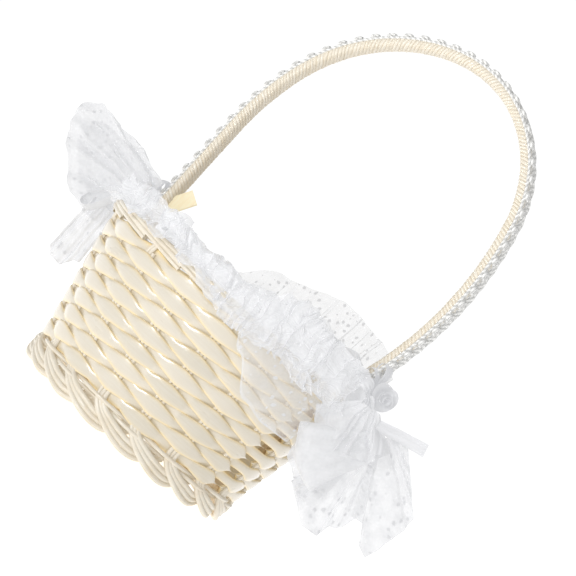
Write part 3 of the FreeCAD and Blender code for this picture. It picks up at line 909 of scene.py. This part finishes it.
# Each loop is (name, root and tip from the bow's middle, across, thickness, puff, ripples, seed).
RIGHT_LOOPS = [("up", (0, 0, 0), (-1.5, -4.0, 19.0), LEAF, 3.2, 0.1, 0.3, 3),
    ("side", (0, 0, 0), (-6.0, -5.0, 13.0), LEAF, 3.2, 0.1, 0.3, 7),
    ("back", (0, 1, 0), (0.5, 16.0, 8.0), UPRIGHT, 3.0, 0.2, 0.5, 4),
    ("front", (0, -1, 0), (-0.5, -15.0, 4.0), UPRIGHT, 3.0, 0.2, 0.5, 5),
    ("down", (1, -2, 0), (7.0, -7.0, -14.0), (0.9, 0.45, 0.0), 2.4, 0.2, 0.5, 6)]
LEFT_LOOPS = [("front", (0, 0, 0), (-0.5, -17.0, 4.0), UPRIGHT, 2.8, 0.2, 0.5, 51),
    ("back", (0, 0, 0), (-0.5, 17.0, 5.0), UPRIGHT, 2.8, 0.2, 0.5, 52),
    ("up", (0, 0, 0), (-2.0, 3.0, 15.0), (0.9, -0.45, 0.0), 2.8, 0.2, 0.5, 53)]


def box_middle(node):
    low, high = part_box(node)
    return (np.array(low) + np.array(high)) / 2.0 / MM


def satin_bow(side, loops, knot_shift, knot_axis, knot_seed, satin):
    """Loops of ribbon and the knot in their middle. Returns the middle, in the handle's plane."""
    node = "satin_bow_" + side
    middle = box_middle(node) * (1.0, 0.0, 1.0)
    for name, root, tip, across, thickness, puff, ripples, seed in loops:
        points = looped(middle + root, middle + tip, across, RIBBON_WIDTHS, thickness, puff, ripples, seed)
        add_cloth("bow_%s_loop_%s" % (side, name), node, points, satin)
    points = knot(middle + knot_shift, knot_axis, 2.8, 4.0, knot_seed)
    add_cloth("bow_%s_knot" % side, node, points, satin)
    return middle


def satin_rose(side, shift, front, size, seed, satin):
    node = "ribbon_rose_" + side
    add_cloth("rose_" + side, node, ribbon_rose(box_middle(node) + shift, front, size, seed), satin)


def satin_tail(side, name, root, end, depths, seed, bulge, rows, satin):
    points = drape(root, end, 0.4, depths, seed, bulge, 0.3, rows, RIBBON_COLUMNS)
    add_cloth("satin_tail_%s_%s" % (side, name), "satin_tails_" + side, points, satin)


def bow_drape(name, node, material, root, end, folds, depths, seed, bulge, rough, hem):
    """A sheet of tulle that leaves a bow. Its outline is given from the side it is shown from."""
    points = drape(facing(root), facing(end), folds, depths, seed, bulge, rough)
    tulle_piece(name, node, points, material, hem)


def right_bow(satin, tulle, organza):
    satin_bow("right", RIGHT_LOOPS, (1.0, 0.0, 0.0), (0.0, 0.6, 0.8), 1, satin)
    satin_rose("right", (1.0, 1.5, 0.0), (0.80, -0.58, 0.12), 7.6, 8, satin)
    satin_tail("right", "outer", facing([(98.0, -58.0, 105.0), (98.5, -57.0, 98.5)]),
            facing([(125.0, -62.0, 112.4), (127.0, -61.0, 105.0)]), (0.4, 0.3), 9, 1.5, 30, satin)
    satin_tail("right", "lower", facing([(97.0, -56.0, 100.0), (104.0, -55.0, 99.0)]),
            facing([(105.0, -63.0, 87.0), (111.0, -62.0, 92.0)]), (0.4, 0.4), 10, 2.0, 24, satin)

    loops, tails = "tulle_loops_right", "tulle_tails_right"
    big = looped(facing((106.0, -53.0, 95.0)), facing((77.0, -56.0, 59.0)), facing((0.76, 0.0, -0.65)),
            (12, 37), 9, 0.9, 1, 13, 80, 60)
    big = crumple(big, 16.0, 2.2, 13)
    tulle_piece("tulle_loop_right_big", loops, big, organza)
    bow_drape("tulle_loop_right_small", loops, organza,
            [(101, -54, 100), (101, -52, 92)],
            [(93, -56, 108), (84, -57, 112), (77, -55, 118), (66, -54, 123),
            (57, -53, 122), (50, -52, 112), (51, -51, 100), (58, -52, 90),
            (70, -54, 84), (84, -56, 82), (96, -56, 84)],
            9, (0.8, 2.4), 14, -3, 2.2, 0)
    bow_drape("tulle_loop_right_front", loops, organza,
            [(82, -59, 106), (96, -57, 106)],
            [(66, -58, 88), (76, -60, 78), (92, -62, 76), (108, -60, 84),
            (113, -56, 96)], 5, (0.8, 2), 18, -3, 2, 0)
    bow_drape("tulle_tail_right_outer", tails, tulle,
            [(108, -48, 106), (106, -48, 91)],
            [(120, -52, 103.5), (147, -52, 77), (147.5, -52, 69), (141.5, -51, 44),
            (134, -50, 47), (129, -49, 57), (121, -48, 55)],
            2.5, (0.7, 0.9), 15, 0, 0.9, TAIL_HEM)
    bow_drape("tulle_tail_right_lower", tails, tulle,
            [(109, -46, 94), (98, -46, 92)],
            [(126, -46, 62), (122, -46, 47), (116.5, -46, 43), (115, -46, 35),
            (105, -45, 33.5), (94, -45, 41.5), (85, -44, 48)],
            2.5, (0.7, 1), 16, 0, 0.9, TAIL_HEM)
    bow_drape("tulle_tail_right_near", tails, tulle,
            [(104, -50, 94), (97, -50, 90)],
            [(103, -48, 44), (92, -47, 44), (83, -46, 52), (74, -45, 56),
            (72, -46, 66)], 2, (0.7, 0.9), 17, 0, 0.9, TAIL_HEM)


def left_bow(satin, tulle, organza):
    middle = satin_bow("left", LEFT_LOOPS, (-1.0, 0.0, 0.0), (0.0, 1.0, 0.1), 2, satin)
    satin_rose("left", (0.0, 0.0, 0.0), (-1.0, 0.1, 0.1), 8.8, 18, satin)
    satin_tail("left", "outer", middle + [(-4.0, 6.0, -2.0), (-4.0, 6.0, -9.0)],
            middle + [(-36.0, 20.0, 1.0), (-38.0, 19.0, -6.0)], (0.4, 0.3), 19, 1.5, 30, satin)
    satin_tail("left", "lower", middle + [(-5.0, 9.0, -5.0), (-3.0, 15.0, -6.0)],
            middle + [(-9.0, 13.0, -36.0), (-7.0, 20.0, -39.0)], (0.4, 0.4), 20, 2.0, 24, satin)

    big = looped((-100, -4, 106), (-115, -4, 80), (0.1, 1.0, 0.1), (9.0, 36.0), 7.0, 0.8, 1.5, 23, 70, 56)
    big = crumple(big, 12.0, 1.5, 23)
    tulle_piece("tulle_loop_left_big", "tulle_loops_left", big, organza)
    tails = "tulle_tails_left"
    bow_drape("tulle_tail_left_outer", tails, tulle,
            [(-80, 30, 124), (-84, 32, 98)],
            [(-99, 36, 128), (-112, 40, 133), (-121, 44, 131), (-142, 50, 134.5),
            (-151, 52, 127), (-151, 52, 120), (-146.5, 51, 109), (-135.5, 48, 97),
            (-124.5, 46, 84.5), (-105, 40, 79.5), (-95, 36, 84)],
            5, (1, 2), 24, -2, 2, TAIL_HEM)
    bow_drape("tulle_tail_left_inner", tails, tulle,
            [(-82, 38, 120), (-86, 38, 100)],
            [(-104, 44, 126), (-118, 50, 127), (-134, 54, 128), (-141, 56, 118),
            (-137, 56, 106), (-124, 52, 94), (-108, 46, 88)],
            6, (1, 2.4), 25, 2, 2, TAIL_HEM)
    bow_drape("tulle_tail_left_hanging", tails, tulle,
            [(-106, 37, 90), (-88, 35, 90)],
            [(-106.5, 38, 52), (-103, 38, 46.5), (-94, 37, 46.5), (-90, 36, 54),
            (-86.5, 35, 55)], 1, (0.8, 0.8), 26, 0, 0.9, side_hems(0.10))


# ---- Stage, in metres ----
CAMERA_DISTANCE = 0.948
CAMERA_HEIGHT = 0.0988
CAMERA_YAW = 0.86         # to the right
CAMERA_PITCH = 1.62       # up
CAMERA_ROLL = 42.08
CAMERA_LENS = 104.2       # mm
# Each light is (name, position, what it points at, size, watts).
LIGHTS = [("key", (-0.10, -1.05, 0.15), (0, 0, 0.09), 0.26, 3.6),
    ("fill", (1.1, -0.7, 0.6), (0, 0, 0.1), 0.8, 1.4),
    ("top", (-0.3, 0.3, 1.3), (0, 0, 0.1), 0.8, 2.0)]
SKY_LIGHT = 0.46          # strength of the surroundings as a light
SKY_SEEN = 1.05           # and as a backdrop
FLOOR_HALF = 4.0
FLOOR_Z = -0.0005


def turned(first, second, degrees):
    """The first direction turned towards the second, and the second turned with it."""
    cos, sin = math.cos(math.radians(degrees)), math.sin(math.radians(degrees))
    return first * cos + second * sin, second * cos - first * sin


def make_camera():
    azimuth = math.radians(VIEW_TURN)
    forward = Vector((-math.sin(azimuth), math.cos(azimuth), 0.0))
    right = Vector((math.cos(azimuth), math.sin(azimuth), 0.0))
    position = Vector((0.0, 0.0, CAMERA_HEIGHT)) - forward * CAMERA_DISTANCE
    forward, right = turned(forward, right, CAMERA_YAW)
    forward, up = turned(forward, Vector((0.0, 0.0, 1.0)), CAMERA_PITCH)
    right, up = turned(right, up, CAMERA_ROLL)
    data = bpy.data.cameras.new("camera")
    data.lens = CAMERA_LENS
    data.sensor_width = 36.0
    data.clip_start = 0.05
    camera = add_object("camera", data)
    camera.matrix_world = Matrix.Translation(position) @ Matrix((right, up, -forward)).transposed().to_4x4()
    bpy.context.scene.camera = camera


def make_lights():
    for name, position, target, size, power in LIGHTS:
        data = bpy.data.lights.new(name, "AREA")
        data.shape = "DISK"
        data.size = size
        data.energy = power
        light = add_object(name, data)
        light.location = position
        light.rotation_euler = (Vector(target) - Vector(position)).to_track_quat("-Z", "Y").to_euler()


def make_world():
    world = bpy.data.worlds.new("studio")
    world.use_nodes = True
    tree = world.node_tree
    background = tree.nodes["Background"]
    background.inputs["Color"].default_value = WHITE
    seen = add_node(tree, "LightPath").outputs["Is Camera Ray"]
    strength = add_node(tree, "MapRange", Value=seen, To_Min=SKY_LIGHT, To_Max=SKY_SEEN)
    tree.links.new(strength.outputs["Result"], background.inputs["Strength"])
    bpy.context.scene.world = world
    bpy.context.scene.view_settings.view_transform = "Standard"


def make_floor():
    material, tree, shader = start_material("pale_floor", Roughness=0.8, Emission_Strength=0.75,
            Emission_Color=WHITE)
    speck = fractal(tree, "Object", (40.0, 40.0, 40.0), 3.0)
    set_colour(tree, shader, mix_colour(tree, speck, (0.92, 0.92, 0.92, 1.0), (0.95, 0.95, 0.95, 1.0)))
    mesh = bpy.data.meshes.new("floor")
    corners = [(x * FLOOR_HALF, y * FLOOR_HALF, FLOOR_Z) for x, y in ((-1, -1), (1, -1), (1, 1), (-1, 1))]
    mesh.from_pydata(corners, [], [(0, 1, 2, 3)])
    mesh.materials.append(material)
    add_object("floor", mesh)


# ---- Everything ----
def paint(nodes, names, material):
    """Give CAD nodes that stay as they are a material."""
    for name in names:
        mesh = nodes[name].data
        mesh.materials.clear()
        mesh.materials.append(material)


def build_wicker(nodes):
    reed = reed_material()
    paint(nodes, ["waling_rod_lower", "waling_rod_upper"], reed)
    for index in range(STAKE_COUNT):
        stake_rods(index, reed)
    paint(nodes, ["base_board"],
            wood_material("plywood", (0.78, 0.62, 0.40, 1.0), (0.62, 0.44, 0.24, 1.0), (22.0, 260.0, 260.0)))
    paint(nodes, ["handle_core"],
            wood_material("handle_wood", (0.76, 0.62, 0.42, 1.0), (0.60, 0.45, 0.27, 1.0),
            (420.0, 420.0, 40.0)))
    paint(nodes, ["handle_tie_right", "handle_tie_left"],
            wood_material("binding_wire", (0.72, 0.72, 0.72, 1.0), (0.55, 0.55, 0.55, 1.0),
            (900.0, 900.0, 900.0)))
    splint = splint_material()
    for index in range(ROW_COUNT):
        woven_row(nodes, index, splint)
    wrapped, braided = handle_parts()
    handle_wrap(wrapped, wrap_material())
    splint_end(wood_material("pale_splint", (0.74, 0.68, 0.50, 1.0), (0.70, 0.62, 0.42, 1.0),
            (900.0, 900.0, 90.0), Emission_Strength=0.28,
            Emission_Color=(0.97, 0.88, 0.62, 1.0)))
    handle_braid(braided, braid_material())


def build_trimmings():
    ruffle_tulle = tulle_material("ruffle_tulle", 0.56, 0.68, 0.9, 0.36, 0.52)
    sheer_tulle = tulle_material("sheer_tulle", 0.36, 0.46, 0.9, 0.36, 0.44)
    tail_tulle = tulle_material("tail_tulle", 0.76, 0.82, 0.97, 0.35, 0.42)
    organza = tulle_material("organza", 0.86, 0.92, 0.0, 0.33, 0.44)
    satin = satin_material()
    front_ruffle(ruffle_tulle, sheer_tulle)
    back_ruffle(ruffle_tulle, sheer_tulle)
    right_bow(satin, tail_tulle, organza)
    left_bow(satin, tail_tulle, organza)


def main():
    noise.seed_set(NOISE_SEED)
    for leftover in list(bpy.data.objects):
        bpy.data.objects.remove(leftover)
    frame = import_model()
    build_wicker(frame["nodes"])
    build_trimmings()
    make_camera()
    make_world()
    make_lights()
    make_floor()


main()
